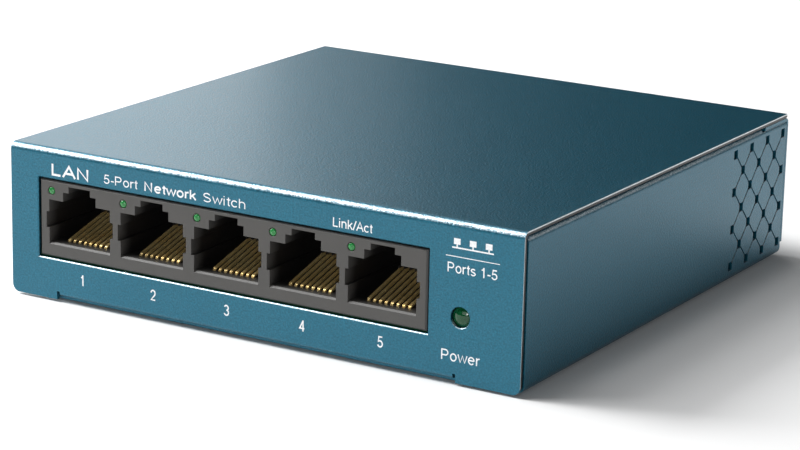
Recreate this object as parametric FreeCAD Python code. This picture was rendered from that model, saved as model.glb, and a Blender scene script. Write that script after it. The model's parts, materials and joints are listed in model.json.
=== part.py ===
import FreeCAD, Part
import math
import os

# Five-port desktop network switch in a folded steel case, in millimetres.
# X runs along the front, from left to right. The front faces -Y. +Z is up.
# The origin is on the desk, under the middle of the case.

V = FreeCAD.Vector

# ---- driving dimensions: case ----
case_width = 93.0
case_depth = 93.0
case_height = 25.0
sheet = 0.6
case_lift = 0.3
cover_bend_r = 1.15
cover_foot_bend_r = 0.7
cover_end_drop = 0.1
base_bend_r = 1.3
flange_bend_r = 1.0
side_flange_width = 6.0
side_flange_stop = 10.3
rear_flange_width = 9.5
front_flange_width = 7.5
rear_relief = 2.2

# ---- driving dimensions: front openings ----
port_count = 5
port_pitch = 13.97
port_row_offset = -5.2
port_width = 11.9
port_groove_side = 0.55
port_height = 7.0
port_groove_low = 2.4
port_groove_high = 5.0
latch_width = 6.4
latch_height = 1.5
latch_top_width = 4.2
latch_top_height = 1.05
port_depth = 16.8
block_end_wall = 1.76
block_roof = 0.6
block_depth = 21.0
block_recess = 0.15
block_edge = 0.25
window_edge = 0.16
lamp_hole_edge = 0.1
port_floor = 2.3
lip_edge = 0.3
notch_width = 0.5
notch_left = 9.15
notch_right = 11.1
notch_rise = 0.8

# ---- driving dimensions: contacts ----
wire_count = 8
wire_pitch = 1.016
wire_width = 0.44
wire_thick = 0.34
wire_bend_r = 0.6
wire_slope = 15.5
wire_arm = 9.0
wire_tip = 1.2
wire_setback = 2.75
wire_below_floor = 0.15
tail_rows = 2.0
tail_inset = 1.3
tail_below_board = 1.0

# ---- driving dimensions: lamps ----
link_lamp_r = 0.56
link_lamp_dome = 0.25
link_lamp_side = 5.5
link_lamp_rise = 1.45
pipe_bend_r = 1.4
pipe_stand_off = 1.6
pipe_chip_gap = 0.2
lamp_chip_width = 1.6
lamp_chip_depth = 1.0
lamp_chip_height = 0.8
power_lamp_r = 1.5
power_lamp_dome = 0.55
power_lamp_side = 10.3
power_lamp_rise = 3.15
power_lamp_length = 5.3
power_rim_r = 1.9
power_rim_thick = 1.0
holder_wall = 0.8
holder_gap = 0.9
lead_r = 0.25
lead_gap = 2.54

# ---- driving dimensions: power socket ----
socket_width = 9.0
socket_height = 11.0
socket_length = 13.5
socket_axis_height = 6.3
socket_edge = 0.8
socket_bore_r = 3.15
socket_bore_depth = 10.5
socket_pin_r = 1.0
socket_pin_inset = 1.2
socket_side = 18.0
socket_recess = 0.2
tab_width = 2.0
tab_thick = 0.4
tab_rise = 1.4
leaf_width = 2.4
leaf_thick = 0.3
leaf_bend_r = 0.55
leaf_arm = 5.2
leaf_slope = 12.0
leaf_tip = 1.4
leaf_tip_drop = 0.7
leaf_peak_r = 1.2

# ---- driving dimensions: board and its parts ----
board_thick = 1.6
board_under = 4.85
board_side_gap = 2.1
screw_r = 1.5
screw_head_r = 2.8
screw_head_height = 1.9
standoff_r = 2.6
standoff_side = 6.2
standoff_behind_transformers = 6.5
standoff_rear_inset = 5.5
chip_size = 12.0
chip_thick = 0.9
chip_x = -4.0
chip_behind_transformers = 20.5
pad_thick = 0.5
sink_size = 20.0
sink_base = 1.5
sink_height = 7.0
sink_fins = 7
sink_slot = 1.6
transformer_width = 12.0
transformer_depth = 9.5
transformer_height = 5.6
transformer_gap = 3.4
crystal_length = 10.5
crystal_width = 4.6
crystal_height = 3.5
crystal_x = 18.0
crystal_ahead = 4.0
can_r = 3.15
can_height = 7.5
can_groove_r = 0.35
can_groove_rise = 1.4
can_x = 14.0
can_spacing = 9.0
can_front_spacing = 8.5
can_rear_inset = 6.7
inductor_width = 7.2
inductor_height = 4.2
inductor_x = 31.0
inductor_behind = 4.0

# ---- driving dimensions: underside ----
foot_r = 4.0
foot_height = 1.0
foot_side = 8.0
foot_end = 15.5
dish_wall = 0.6
keyhole_spacing = 60.0
keyhole_y = 12.0
keyhole_entry_r = 3.75
keyhole_slot_r = 1.9
keyhole_slot_length = 14.0
cover_screw_r = 1.25
cover_screw_seat_edge = 0.05
cover_screw_length = 4.0
cover_screw_side = 25.0
cover_screw_inset = 3.2
collar_height = 1.2
collar_wall = 0.8
hook_width = 8.0
hook_side = 25.0
hook_pad = 5.5
hook_reach = 5.0

# ---- driving dimensions: side vents ----
vent_columns = 7
vent_column_pitch = 3.15
vent_row_pitch = 6.35
vent_rows = 4
vent_hole_depth = 1.4
vent_hole_height = 1.5
vent_rear_inset = 2.1
vent_top_drop = 2.15
groove_width = 0.3
groove_depth = 0.14

# ---- named clearances ----
top_gap = 0.3
rear_flange_gap = 0.1
front_gap = 0.6
corner_gap = 0.1
window_gap = 0.3
flange_gap = 0.05
thread_gap = 0.05
lamp_gap = 0.1
wire_gap = 0.06
slot_gap = 0.1
socket_gap = 0.25
press_gap = 0.02
tab_gap = 0.3
hook_gap = 0.1

# ---- places worked out from the driving dimensions ----
front_y = -case_depth / 2
rear_y = case_depth / 2
side_x = case_width / 2
base_low = case_lift
base_top = case_lift + sheet
cover_low = case_height - sheet
flange_top = cover_low - top_gap
rear_flange_top = cover_low - rear_flange_gap
side_front = front_y + sheet + front_gap
rear_inner = rear_y - sheet
side_rear = rear_inner - corner_gap
board_low = base_top + board_under
board_top = board_low + board_thick
board_front = front_y + sheet + 1.0
board_rear = rear_inner - 1.0
board_x = side_x - sheet - board_side_gap
block_front = front_y + block_recess
block_rear = block_front + block_depth
block_low = board_top
block_width = (port_count - 1) * port_pitch + port_width + 2 * block_end_wall
block_height = port_floor + port_height + latch_height + latch_top_height + block_roof
block_top = block_low + block_height
port_low = block_low + port_floor
port_top = port_low + port_height
hinge_y = front_y + wire_setback
hinge_z = port_low - wire_below_floor
link_z = port_top + link_lamp_rise
transformer_y = block_rear + transformer_gap
transformer_rear = transformer_y + transformer_depth
standoff_front = transformer_rear + standoff_behind_transformers
standoff_rear = rear_y - standoff_rear_inset
chip_y = transformer_rear + chip_behind_transformers
cover_screw_y = front_y + front_flange_width - cover_screw_inset
cover_screw_head_r = cover_screw_r + sheet + cover_screw_seat_edge
power_x = side_x - power_lamp_side
power_z = board_top + power_lamp_rise
socket_x = side_x - socket_side
socket_front = rear_y - socket_recess
socket_z = board_top + socket_axis_height
leaf_y = socket_front - socket_bore_depth + 1.6
leaf_z = socket_z - socket_bore_r - 0.55


def box(x0, x1, y0, y1, z0, z1):
    return Part.makeBox(x1 - x0, y1 - y0, z1 - z0, V(x0, y0, z0))


def rod(radius, start, axis, length):
    return Part.makeCylinder(radius, length, start, axis)


def prism(outline, x0, x1):
    """A closed outline of (y, z) points carried along X."""
    points = [V(x0, y, z) for y, z in outline]
    wire = Part.makePolygon(points + points[:1])
    return Part.Face(wire).extrude(V(x1 - x0, 0, 0))


def strip(path, radii, thick, start, run, lift):
    """A folded strip: the path is its outer line, and each corner gets its own bend radius.

    path holds (u, w) pairs, run is the direction in which the fold is drawn out, and lift turns
    a (u, w) pair into a point. The strip lies to the left of its path.
    """
    edges_out = rounded(path, radii)
    edges_in = rounded(offset(path, thick), [max(r - thick, 0.0) for r in radii])
    outline = []
    for kind, points in edges_out:
        outline.append(edge(kind, [lift(*p) for p in points]))
    outline.append(edge("line", [lift(*edges_out[-1][1][-1]), lift(*edges_in[-1][1][-1])]))
    for kind, points in reversed(edges_in):
        outline.append(edge(kind, [lift(*p) for p in reversed(points)]))
    outline.append(edge("line", [lift(*edges_in[0][1][0]), lift(*edges_out[0][1][0])]))
    face = Part.Face(Part.Wire(outline))
    face.translate(start)
    return face.extrude(run)


def edge(kind, points):
    if kind == "line":
        return Part.LineSegment(points[0], points[1]).toShape()
    return Part.Arc(points[0], points[1], points[2]).toShape()


def offset(path, thick):
    """The same path, moved to its left by the thickness."""
    normals = []
    for (u0, w0), (u1, w1) in zip(path, path[1:]):
        length = math.hypot(u1 - u0, w1 - w0)
        normals.append((-(w1 - w0) / length, (u1 - u0) / length))
    moved = []
    for i, (u, w) in enumerate(path):
        before = normals[max(i - 1, 0)]
        after = normals[min(i, len(normals) - 1)]
        share = thick / (1 + before[0] * after[0] + before[1] * after[1])
        moved.append((u + share * (before[0] + after[0]), w + share * (before[1] + after[1])))
    return moved


def rounded(path, radii):
    """The path as lines and arcs, each inner corner rounded to its own radius."""
    pieces = []
    last = path[0]
    for i in range(1, len(path) - 1):
        corner = path[i]
        back = unit(corner, path[i - 1])
        ahead = unit(corner, path[i + 1])
        cosine = back[0] * ahead[0] + back[1] * ahead[1]
        half = math.acos(max(-1.0, min(1.0, cosine))) / 2
        radius = radii[i - 1]
        if radius <= 0:
            pieces.append(("line", [last, corner]))
            last = corner
            continue
        cut = radius / math.tan(half)
        enter = (corner[0] + back[0] * cut, corner[1] + back[1] * cut)
        leave = (corner[0] + ahead[0] * cut, corner[1] + ahead[1] * cut)
        bisector = unit((0, 0), (back[0] + ahead[0], back[1] + ahead[1]))
        reach = radius / math.sin(half) - radius
        middle = (corner[0] + bisector[0] * reach, corner[1] + bisector[1] * reach)
        pieces.append(("line", [last, enter]))
        pieces.append(("arc", [enter, middle, leave]))
        last = leave
    pieces.append(("line", [last, path[-1]]))
    return pieces


def unit(a, b):
    length = math.hypot(b[0] - a[0], b[1] - a[1])
    return ((b[0] - a[0]) / length, (b[1] - a[1]) / length)


def fold_yz(path, radii, x0, x1, thick=sheet):
    return strip(path, radii, thick, V(x0, 0, 0), V(x1 - x0, 0, 0), lambda u, w: V(0, u, w))


def fold_xz(path, radii, y0, y1, thick=sheet):
    return strip(path, radii, thick, V(0, y0, 0), V(0, y1 - y0, 0), lambda u, w: V(u, 0, w))


def port_centres():
    middle = (port_count - 1) / 2
    return [port_row_offset + (i - middle) * port_pitch for i in range(port_count)]


def wire_places(centre):
    middle = (wire_count - 1) / 2
    return [centre + (i - middle) * wire_pitch for i in range(wire_count)]


def tail_y(index):
    return block_rear - tail_inset - (index % 2) * tail_rows


# ---- steel case ----

def top_cover():
    """Top and front in one sheet, with a foot flange between two relief notches."""
    left = -side_x + notch_left
    right = side_x - notch_right
    foot_z = base_top + flange_gap
    skin = fold_yz(
        [(rear_y - sheet, case_height), (front_y, case_height), (front_y, case_lift + cover_end_drop)],
        [cover_bend_r], -side_x, side_x)
    skin = skin.cut(box(left - notch_width / 2, right + notch_width / 2, front_y - 1,
                        front_y + 2 * sheet, 0, foot_z + notch_rise))
    foot = fold_yz(
        [(front_y, foot_z + notch_rise), (front_y, foot_z), (front_y + front_flange_width, foot_z)],
        [cover_foot_bend_r], left + notch_width / 2, right - notch_width / 2)
    skin = skin.fuse(foot)
    skin = skin.cut(window_cut())
    skin = skin.cut(lamp_hole(power_x, power_z, power_lamp_r + lamp_gap, front_y, 4))
    for x in (-cover_screw_side, cover_screw_side):
        collar = rod(cover_screw_r + thread_gap + collar_wall, V(x, cover_screw_y, foot_z + sheet / 2),
                     V(0, 0, 1), sheet / 2 + collar_height)
        skin = skin.fuse(collar)
        skin = skin.cut(rod(cover_screw_r + thread_gap, V(x, cover_screw_y, 0), V(0, 0, 1), 6))
    skin = skin.removeSplitter()
    return round_corners(skin, front_y, case_lift + cover_end_drop)


def round_corners(skin, y, z):
    """The two free bottom corners of the front, rounded in its plane."""
    corners = [e for e in skin.Edges
               if len(e.Vertexes) == 2
               and all(abs(abs(v.X) - side_x) < 0.01 and abs(v.Z - z) < 0.01 for v in e.Vertexes)]
    return skin.makeFillet(base_bend_r, corners)


def window_cut():
    """The port window, with its outer edge broken by a small bevel."""
    x0 = port_row_offset - block_width / 2 - window_gap
    x1 = port_row_offset + block_width / 2 + window_gap
    z0 = block_low - window_gap
    z1 = block_top + window_gap
    opening = box(x0, x1, front_y - 1, front_y + 2 * sheet, z0, z1)
    mouth = box(x0 - window_edge, x1 + window_edge, front_y, front_y + sheet,
                z0 - window_edge, z1 + window_edge)
    inner = [e for e in mouth.Edges if all(abs(v.Y - front_y - sheet) < 0.01 for v in e.Vertexes)]
    mouth = mouth.makeChamfer(window_edge, inner)
    mouth.translate(V(0, window_edge - sheet, 0))
    return opening.fuse(mouth)


def lamp_hole(x, z, radius, y, length):
    """A round hole along Y whose mouth, at y, has a small bevel."""
    bevel = Part.makeCone(radius + lamp_hole_edge, radius, lamp_hole_edge, V(x, y, z), V(0, 1, 0))
    return rod(radius, V(x, y - 1, z), V(0, 1, 0), length + 1).fuse(bevel)


def cover_hooks():
    """Two stepped clips under the top that reach below the rear flange."""
    pad_low = cover_low - sheet
    tongue_top = rear_flange_top - sheet - hook_gap
    pad_end = rear_y - rear_flange_width - 2 * sheet - hook_gap
    hooks = []
    for x in (-hook_side, hook_side):
        hooks.append(fold_yz(
            [(pad_end + sheet + hook_reach + rear_flange_gap, tongue_top),
             (pad_end + sheet, tongue_top), (pad_end, cover_low), (pad_end - hook_pad, cover_low)],
            [sheet / 2, sheet], x - hook_width / 2, x + hook_width / 2))
    return Part.makeCompound(hooks)


def base_chassis():
    """Base plate, both sides and rear panel, folded from one sheet."""
    tray = fold_xz(
        [(-side_x + side_flange_width, flange_top), (-side_x, flange_top), (-side_x, base_low),
         (side_x, base_low), (side_x, flange_top), (side_x - side_flange_width, flange_top)],
        [flange_bend_r, base_bend_r, base_bend_r, flange_bend_r], side_front, side_rear)
    raw_top = rear_flange_top - sheet - rear_flange_gap
    tray = tray.cut(box(-side_x - 1, side_x + 1, rear_y - side_flange_stop, rear_y + 1,
                        raw_top, case_height))
    rear = fold_yz(
        [(side_rear - base_bend_r, base_low), (rear_y, base_low), (rear_y, rear_flange_top),
         (rear_y - rear_flange_width, rear_flange_top)],
        [base_bend_r, flange_bend_r], -side_x, side_x)
    low = base_low + rear_relief
    for x0, x1 in ((-side_x - 1, -side_x + rear_relief), (side_x - rear_relief, side_x + 1)):
        rear = rear.cut(box(x0, x1, 0, rear_y + 1, 0, low))
    shell = tray.fuse(rear)
    shell = shell.cut(vent_cuts())
    shell = shell.cut(Part.makeCompound(vent_grooves()))
    shell = shell.cut(socket_window())
    shell = shell.cut(Part.makeCompound(keyholes()))
    for x, y in foot_places():
        shell = shell.cut(rod(foot_r + dish_wall, V(x, y, 0), V(0, 0, 1), base_top))
        shell = shell.fuse(foot_dish(x, y))
    for x in (-cover_screw_side, cover_screw_side):
        shell = shell.cut(cover_screw_seat(x))
    return shell.removeSplitter()


def foot_dish(x, y):
    """A raised dish in the base plate that holds a foot."""
    dish = rod(foot_r + dish_wall + sheet, V(x, y, base_low), V(0, 0, 1), foot_height)
    return dish.cut(rod(foot_r + dish_wall, V(x, y, 0), V(0, 0, 1), foot_height))


def cover_screw_seat(x):
    head = cover_screw_head_r + thread_gap
    return Part.makeCone(head, head - sheet, sheet, V(x, cover_screw_y, base_low), V(0, 0, 1))


def vent_rows_at(column):
    """Heights of the holes in one column: odd columns have one hole less."""
    top = flange_top - vent_top_drop
    count = vent_rows - column % 2
    return [top - (column % 2) * vent_row_pitch / 2 - row * vent_row_pitch for row in range(count)]


def vent_column_y(column):
    return rear_y - vent_rear_inset - (vent_columns - 1 - column) * vent_column_pitch


def vent_cuts():
    holes = []
    for column in range(vent_columns):
        y = vent_column_y(column)
        for z in vent_rows_at(column):
            holes.append(box(-side_x - 1, side_x + 1, y - vent_hole_depth / 2,
                             y + vent_hole_depth / 2, z - vent_hole_height / 2,
                             z + vent_hole_height / 2))
    return Part.makeCompound(holes)


def vent_grooves():
    """Shallow lines between neighbouring holes, on the outside of both sides."""
    grooves = []
    for column in range(vent_columns - 1):
        y0 = vent_column_y(column)
        y1 = vent_column_y(column + 1)
        for z0 in vent_rows_at(column):
            for z1 in vent_rows_at(column + 1):
                if abs(z1 - z0) < vent_row_pitch * 0.6:
                    grooves += [groove(side, y0, z0, y1, z1) for side in (-1, 1)]
    return grooves


def groove(side, y0, z0, y1, z1):
    length = math.hypot(y1 - y0, z1 - z0)
    across = (-(z1 - z0) / length * groove_width / 2, (y1 - y0) / length * groove_width / 2)
    inner = side * (side_x - groove_depth)
    outer = side * (side_x + groove_depth)
    outline = [(y0 + across[0], z0 + across[1]), (y1 + across[0], z1 + across[1]),
               (y1 - across[0], z1 - across[1]), (y0 - across[0], z0 - across[1])]
    return prism(outline, min(inner, outer), max(inner, outer))


def socket_window():
    half = socket_width / 2 + socket_gap
    return box(socket_x - half, socket_x + half, rear_inner - 1, rear_y + 1,
               board_top - socket_gap, board_top + socket_height + socket_gap)


def keyholes():
    """Two cross-shaped hanging holes in the base plate."""
    cuts = []
    reach = keyhole_slot_length / 2 - keyhole_slot_r
    for x in (-keyhole_spacing / 2, keyhole_spacing / 2):
        centre = V(x, keyhole_y, 0)
        cuts.append(rod(keyhole_entry_r, centre, V(0, 0, 1), base_top + 1))
        for dx, dy in ((1, 0), (0, 1)):
            cuts.append(box(x - reach * dx - keyhole_slot_r * dy, x + reach * dx + keyhole_slot_r * dy,
                            keyhole_y - reach * dy - keyhole_slot_r * dx,
                            keyhole_y + reach * dy + keyhole_slot_r * dx, 0, base_top + 1))
            for end in (-1, 1):
                spot = V(x + end * reach * dx, keyhole_y + end * reach * dy, 0)
                cuts.append(rod(keyhole_slot_r, spot, V(0, 0, 1), base_top + 1))
    first = cuts[0]
    return [first.multiFuse(cuts[1:])]


def foot_places():
    x = side_x - foot_side
    y = rear_y - foot_end
    return [(-x, -y), (x, -y), (-x, y), (x, y)]


def rubber_feet():
    feet = []
    for x, y in foot_places():
        foot = rod(foot_r, V(x, y, 0), V(0, 0, 1), foot_height)
        rim = [e for e in foot.Edges if e.isClosed() and e.Vertexes[0].Z < 0.01]
        feet.append(foot.makeFillet(0.25, rim))
    return Part.makeCompound(feet)


def cross_recess(x, y, z, size, depth, up):
    """The driver recess of a screw head: two crossed slots."""
    half = size / 8
    low, high = (z - depth, z + 1) if up else (z - 1, z + depth)
    return box(x - size / 2, x + size / 2, y - half, y + half, low, high).fuse(
        box(x - half, x + half, y - size / 2, y + size / 2, low, high))


def cover_screws():
    """Countersunk screws from below, through the base plate into the cover's foot flange."""
    screws = []
    y = cover_screw_y
    for x in (-cover_screw_side, cover_screw_side):
        head = Part.makeCone(cover_screw_head_r, cover_screw_head_r - sheet, sheet,
                             V(x, y, base_low), V(0, 0, 1))
        shank = rod(cover_screw_r, V(x, y, base_low + sheet / 2), V(0, 0, 1),
                    cover_screw_length - sheet / 2)
        screw = head.fuse(shank)
        screws.append(screw.cut(cross_recess(x, y, base_low, 2 * cover_screw_r, 1.0, False)))
    return Part.makeCompound(screws)


# ---- circuit board ----

def board_screw_places():
    x = side_x - sheet - standoff_side
    return [(-x, standoff_front), (x, standoff_front), (-x, standoff_rear), (x, standoff_rear)]


def circuit_board():
    board = box(-board_x, board_x, board_front, board_rear, board_low, board_top)
    holes = [rod(screw_r + lamp_gap, V(x, y, board_low - 1), V(0, 0, 1), board_thick + 2)
             for x, y in board_screw_places()]
    for centre in port_centres():
        for i, x in enumerate(wire_places(centre)):
            holes.append(rod(wire_width / 2 + slot_gap, V(x, tail_y(i), board_low - 1), V(0, 0, 1),
                             board_thick + 2))
    for x in power_lead_places():
        holes.append(rod(lead_r + slot_gap, V(x, power_lead_y(), board_low - 1), V(0, 0, 1),
                         board_thick + 2))
    for x, y in terminal_places():
        half, deep = tab_width / 2 + tab_gap, tab_thick / 2 + slot_gap
        holes.append(box(x - half, x + half, y - deep, y + deep, board_low - 1, board_top + 1))
    return board.cut(Part.makeCompound(holes))


def board_standoffs():
    posts = []
    for x, y in board_screw_places():
        post = rod(standoff_r, V(x, y, base_top), V(0, 0, 1), board_under)
        bore = rod(screw_r + thread_gap, V(x, y, base_top + 0.6), V(0, 0, 1), board_under)
        posts.append(post.cut(bore))
    return Part.makeCompound(posts)


def board_screws():
    screws = []
    for x, y in board_screw_places():
        head = rod(screw_head_r, V(x, y, board_top), V(0, 0, 1), screw_head_height)
        rim = [e for e in head.Edges if e.isClosed() and e.Vertexes[0].Z > board_top + 1]
        head = head.makeFillet(screw_head_height / 2, rim)
        shank = rod(screw_r, V(x, y, board_top - 4.5), V(0, 0, 1), 5.0)
        screw = head.fuse(shank)
        screws.append(screw.cut(cross_recess(x, y, board_top + screw_head_height, 3.0, 1.1, True)))
    return Part.makeCompound(screws)


# ---- port block ----

def port_cavity(centre):
    """Room for a plug: main opening, side grooves for its body, and the latch steps above."""
    y0 = block_front - 1
    y1 = block_front + port_depth
    half = port_width / 2
    wide = port_width / 2 + port_groove_side
    room = box(centre - half, centre + half, y0, y1, port_low, port_top)
    room = room.fuse(box(centre - wide, centre + wide, y0, y1, port_low + port_groove_low,
                         port_low + port_groove_high))
    room = room.fuse(box(centre - latch_width / 2, centre + latch_width / 2, y0, y1,
                         port_top - 0.5, port_top + latch_height))
    top = port_top + latch_height
    room = room.fuse(box(centre - latch_top_width / 2, centre + latch_top_width / 2, y0,
                         block_front + port_depth * 0.6, top - 0.5, top + latch_top_height))
    lip = prism([(y0, port_low - lip_edge - 1), (block_front + lip_edge, port_low),
                 (block_front + lip_edge, port_low + 0.2), (y0, port_low + 0.2)],
                centre - half, centre + half)
    return room.fuse(lip).removeSplitter()


def comb_slot(x, index):
    """Channel of one wire: its bend at the mouth, its run under the floor and its tail."""
    half = wire_width / 2 + slot_gap
    front = hinge_y - wire_bend_r - 0.3
    low = hinge_z - wire_bend_r - 0.15
    high = hinge_z - wire_bend_r + wire_thick + slot_gap
    mouth = hinge_y + 1.6
    back = tail_y(index) + wire_thick / 2 + slot_gap
    tail = tail_y(index) - wire_thick / 2 - slot_gap
    return prism([(front, low), (front, port_low + 0.5), (mouth, port_low + 0.5), (mouth, high),
                  (back, high), (back, block_low - 1), (tail, block_low - 1), (tail, low)],
                 x - half, x + half)


def port_block_housing():
    x = port_row_offset
    block = box(x - block_width / 2, x + block_width / 2, block_front, block_rear, block_low, block_top)
    face = [e for e in block.Edges if all(abs(v.Y - block_front) < 0.01 for v in e.Vertexes)]
    block = block.makeChamfer(block_edge, face)
    cuts = []
    for centre in port_centres():
        cuts.append(port_cavity(centre))
        cuts.append(lamp_hole(centre - link_lamp_side, link_z, link_lamp_r + lamp_gap, block_front,
                              block_depth + 1))
        cuts += [comb_slot(wx, i) for i, wx in enumerate(wire_places(centre))]
    for cut in cuts:
        block = block.cut(cut)
    return block.removeSplitter()


def wire_arm_shape(x):
    """The springing part of one contact: its bend at the mouth, its sloping arm and flat tip."""
    slope = math.radians(wire_slope)
    inner = wire_bend_r - wire_thick
    start = math.pi * 1.5
    end = math.pi / 2 + slope

    def ring(radius, angle):
        return V(x, hinge_y + radius * math.cos(angle), hinge_z + radius * math.sin(angle))

    ahead = V(0, math.cos(slope), math.sin(slope))
    flat = V(0, 1, 0)
    knee = wire_thick * math.tan(slope / 2)
    top0 = ring(wire_bend_r, end)
    top1 = top0 + ahead * wire_arm
    top2 = top1 + flat * wire_tip
    low0 = ring(inner, end)
    low1 = low0 + ahead * (wire_arm + knee)
    low2 = V(x, top2.y, low1.z)
    middle = (start + end) / 2
    edges = [Part.Arc(ring(wire_bend_r, start), ring(wire_bend_r, middle), top0).toShape(),
             Part.LineSegment(top0, top1).toShape(), Part.LineSegment(top1, top2).toShape(),
             Part.LineSegment(top2, low2).toShape(), Part.LineSegment(low2, low1).toShape(),
             Part.LineSegment(low1, low0).toShape(),
             Part.Arc(low0, ring(inner, middle), ring(inner, start)).toShape(),
             Part.LineSegment(ring(inner, start), ring(wire_bend_r, start)).toShape()]
    face = Part.Face(Part.Wire(edges))
    face.translate(V(-wire_width / 2, 0, 0))
    return face.extrude(V(wire_width, 0, 0))


def port_contacts(centre):
    return Part.makeCompound([wire_arm_shape(x) for x in wire_places(centre)])


def contact_leads():
    """The fixed part of every contact: its run under the floor and its tail through the board."""
    leads = []
    low = hinge_z - wire_bend_r
    for centre in port_centres():
        for i, x in enumerate(wire_places(centre)):
            leads.append(fold_yz(
                [(tail_y(i) + wire_thick / 2, board_low - tail_below_board),
                 (tail_y(i) + wire_thick / 2, low + wire_thick), (hinge_y + wire_gap, low + wire_thick)],
                [wire_thick + 0.1], x - wire_width / 2, x + wire_width / 2, wire_thick))
    return Part.makeCompound(leads)


def lamp_nose(x, z, radius, rise):
    """The shallow dome at the front end of a lamp, flush with the front at its middle."""
    ball_r = (radius ** 2 + rise ** 2) / (2 * rise)
    ball = Part.makeSphere(ball_r, V(x, front_y + ball_r, z))
    return ball.common(box(x - radius, x + radius, front_y - rise, front_y + rise, z - radius, z + radius))


def link_light_pipe(centre):
    """A clear rod from the block's face to the lamp on the board behind it."""
    x = centre - link_lamp_side
    turn_y = block_rear + pipe_stand_off
    start = V(x, front_y + link_lamp_dome, link_z)
    path = Part.Wire([
        Part.LineSegment(start, V(x, turn_y - pipe_bend_r, link_z)).toShape(),
        Part.Arc(V(x, turn_y - pipe_bend_r, link_z),
                 V(x, turn_y - pipe_bend_r + pipe_bend_r * math.sin(math.pi / 4),
                   link_z - pipe_bend_r + pipe_bend_r * math.cos(math.pi / 4)),
                 V(x, turn_y, link_z - pipe_bend_r)).toShape(),
        Part.LineSegment(V(x, turn_y, link_z - pipe_bend_r),
                         V(x, turn_y, board_top + lamp_chip_height + pipe_chip_gap)).toShape()])
    ring = Part.Wire([Part.makeCircle(link_lamp_r, start, V(0, 1, 0))])
    pipe = path.makePipeShell([ring], True, True)
    return pipe.fuse(lamp_nose(x, link_z, link_lamp_r, link_lamp_dome)).removeSplitter()


def link_lamp_chips():
    y = block_rear + pipe_stand_off
    half, deep = lamp_chip_width / 2, lamp_chip_depth / 2
    return Part.makeCompound([
        box(x - half, x + half, y - deep, y + deep, board_top, board_top + lamp_chip_height)
        for x in (centre - link_lamp_side for centre in port_centres())])


# ---- power lamp ----

def power_lead_places():
    return [power_x - lead_gap / 2, power_x + lead_gap / 2]


def power_lead_y():
    return front_y + power_lamp_length + power_rim_thick + 2.0


def power_lamp():
    """A round lamp with a domed nose and a rim at its back."""
    start = front_y + power_lamp_dome
    barrel = rod(power_lamp_r, V(power_x, start, power_z), V(0, 1, 0), power_lamp_length - power_lamp_dome)
    dome = lamp_nose(power_x, power_z, power_lamp_r, power_lamp_dome)
    rim = rod(power_rim_r, V(power_x, front_y + power_lamp_length, power_z), V(0, 1, 0), power_rim_thick)
    return barrel.fuse(dome).fuse(rim).removeSplitter()


def power_lamp_leads():
    leads = []
    back = front_y + power_lamp_length + power_rim_thick
    for x in power_lead_places():
        turn = 2 * lead_r
        y = power_lead_y()
        path = Part.Wire([
            Part.LineSegment(V(x, back, power_z), V(x, y - turn, power_z)).toShape(),
            Part.Arc(V(x, y - turn, power_z),
                     V(x, y - turn + turn * math.sin(math.pi / 4),
                       power_z - turn + turn * math.cos(math.pi / 4)),
                     V(x, y, power_z - turn)).toShape(),
            Part.LineSegment(V(x, y, power_z - turn), V(x, y, board_low - tail_below_board)).toShape()])
        ring = Part.Wire([Part.makeCircle(lead_r, V(x, back, power_z), V(0, 1, 0))])
        leads.append(path.makePipeShell([ring], True, True))
    return Part.makeCompound(leads)


def power_lamp_holder():
    """A black block that carries the lamp above the board."""
    half = power_rim_r + holder_wall
    y0 = front_y + sheet + holder_gap
    y1 = front_y + power_lamp_length + power_rim_thick
    block = box(power_x - half, power_x + half, y0, y1, board_top, power_z + half)
    block = block.cut(rod(power_lamp_r + press_gap, V(power_x, y0 - 1, power_z), V(0, 1, 0), 10))
    return block.cut(rod(power_rim_r + press_gap, V(power_x, y1 - power_rim_thick, power_z),
                         V(0, 1, 0), 3))


# ---- power socket ----

def socket_housing():
    half = socket_width / 2
    body = box(socket_x - half, socket_x + half, socket_front - socket_length, socket_front,
               board_top, board_top + socket_height)
    long_edges = [e for e in body.Edges
                  if abs(e.Vertexes[0].Y - e.Vertexes[1].Y) > 1
                  and e.Vertexes[0].Z > board_top + 1]
    body = body.makeChamfer(socket_edge, long_edges)
    bore = rod(socket_bore_r, V(socket_x, socket_front - socket_bore_depth, socket_z), V(0, 1, 0),
               socket_bore_depth + 1)
    body = body.cut(bore)
    body = body.cut(rod(socket_pin_r, V(socket_x, socket_front - socket_length - 1, socket_z),
                        V(0, 1, 0), socket_length))
    half_slot = leaf_width / 2 + slot_gap
    low = leaf_z - leaf_bend_r - 0.2
    body = body.cut(box(socket_x - half_slot, socket_x + half_slot, leaf_y - leaf_bend_r - 0.3,
                        socket_front - 1.2, low, socket_z - socket_bore_r + 0.5))
    for x, y in terminal_places():
        body = body.cut(terminal(x, y, press_gap, board_top - 1))
    return body


def terminal_places():
    return [(socket_x, socket_front - socket_length + 0.6), (socket_x, leaf_y - leaf_bend_r - 1.2)]


def terminal(x, y, gap, low):
    """One solder tab, or with a gap the slot that it sits in."""
    half, deep = tab_width / 2 + gap, tab_thick / 2 + gap
    return box(x - half, x + half, y - deep, y + deep, low, board_top + tab_rise)


def socket_terminals():
    """Flat solder tabs under the socket."""
    return Part.makeCompound([
        terminal(x, y, 0, board_low - tail_below_board) for x, y in terminal_places()])


def socket_pin():
    back = socket_front - socket_length - 0.5
    pin = rod(socket_pin_r, V(socket_x, back, socket_z), V(0, 1, 0),
              socket_front - socket_pin_inset - back)
    tip = [e for e in pin.Edges if e.isClosed() and e.Vertexes[0].Y > socket_front - 2]
    pin = pin.makeFillet(0.6, tip)
    head = rod(1.6, V(socket_x, back - 0.4, socket_z), V(0, 1, 0), 0.9)
    return pin.fuse(head)


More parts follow.
